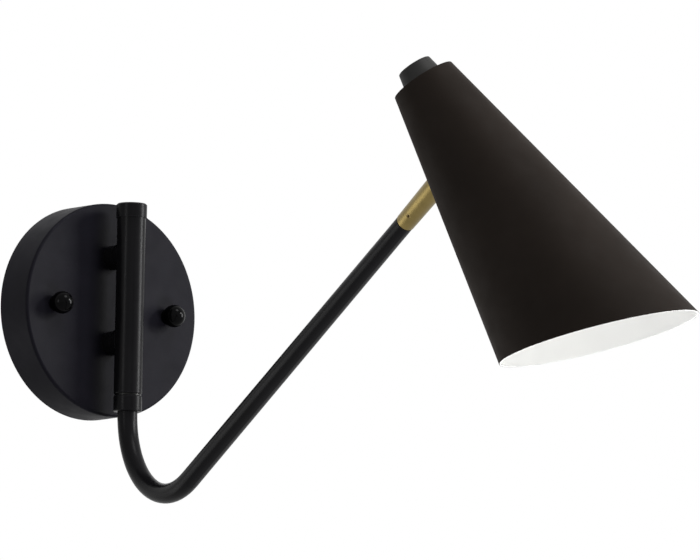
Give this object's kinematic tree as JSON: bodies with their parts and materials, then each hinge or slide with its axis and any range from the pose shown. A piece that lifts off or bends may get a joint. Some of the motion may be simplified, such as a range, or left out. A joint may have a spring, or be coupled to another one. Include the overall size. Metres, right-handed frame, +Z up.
{
  "type": "swing arm wall sconce",
  "caption": "Wall lamp: round canopy, vertical hinge barrel, bent tube arm that swings, brass knuckle stem that swivels and tilts, and a slant-cut cone shade with a screw lampholder.",
  "frame": {"origin": "centre of the canopy's back rim, on the wall plane", "axes": "+Y into the wall, -Y out of it, +Z up"},
  "size_m": [0.1586, 0.5212, 0.2103],
  "materials": {
    "black_paint": "semi-matte powder coat",
    "gloss_black": "gloss black",
    "shade_paint": "matte black outside, matte white inside",
    "satin_brass": "satin",
    "contact_brass": "bright",
    "zinc_steel": "zinc plated",
    "washer_steel": "plain steel",
    "dark_steel": "blackened",
    "green_screw": "green lacquer",
    "bearing_plastic": "moulded, natural",
    "holder_plastic": "moulded, off-white",
    "lead_sheath": "matte"
  },
  "bodies": {
    "wall_plate": {"canopy": "black_paint", "crossbar": "zinc_steel", "mounting_studs": "zinc_steel", "stud_nuts": "zinc_steel", "ball_nuts": "gloss_black", "ground_screw": "green_screw", "upper_standoff": "black_paint", "lower_standoff": "black_paint", "mount_screw": "zinc_steel", "wire_nipple": "zinc_steel", "wire_nipple_nut": "zinc_steel", "barrel": "black_paint", "barrel_cap": "black_paint", "hinge_bushing": "bearing_plastic", "base_lead": "lead_sheath"},
    "arm": {"friction_washer": "washer_steel", "arm_collar": "black_paint", "hinge_nipple": "zinc_steel", "spring_washer": "zinc_steel", "hinge_nut": "zinc_steel", "arm_tube": "black_paint", "arm_lead": "lead_sheath", "stem_spigot": "zinc_steel"},
    "stem": {"knuckle_stem": "satin_brass", "stem_set_screw": "dark_steel"},
    "head": {"knuckle_fork": "satin_brass", "pivot_screw": "satin_brass", "pivot_nut": "satin_brass", "outer_saddle_washer": "satin_brass", "inner_saddle_washer": "zinc_steel", "fork_lock_nut": "zinc_steel", "shade": "shade_paint", "shade_cap": "shade_paint", "holder_nipple": "zinc_steel", "holder_lock_nut": "zinc_steel", "lampholder_base": "holder_plastic", "terminal_screws": "zinc_steel", "lampholder_body": "holder_plastic", "screw_shell": "contact_brass", "centre_contact": "contact_brass", "head_lead": "lead_sheath"}
  },
  "joints": [
    {"name": "arm_swing", "type": "hinge", "parent": "wall_plate", "child": "arm", "pos_m": [0, -0.0403, -0.0488], "axis": [0, 0, 1], "range_deg": [-81.03, 98.97]},
    {"name": "head_swivel", "type": "hinge", "parent": "arm", "child": "stem", "pos_m": [-0.05384, -0.38137, 0.03446], "axis": [-0.1391, -0.8811, 0.452], "range_deg": [-139.48, 160.52]},
    {"name": "head_tilt", "type": "hinge", "parent": "stem", "child": "head", "pos_m": [-0.05384, -0.38137, 0.03446], "axis": [0.9583, -0.2348, -0.1629], "range_deg": [-94.63, 55.37]}
  ]
}
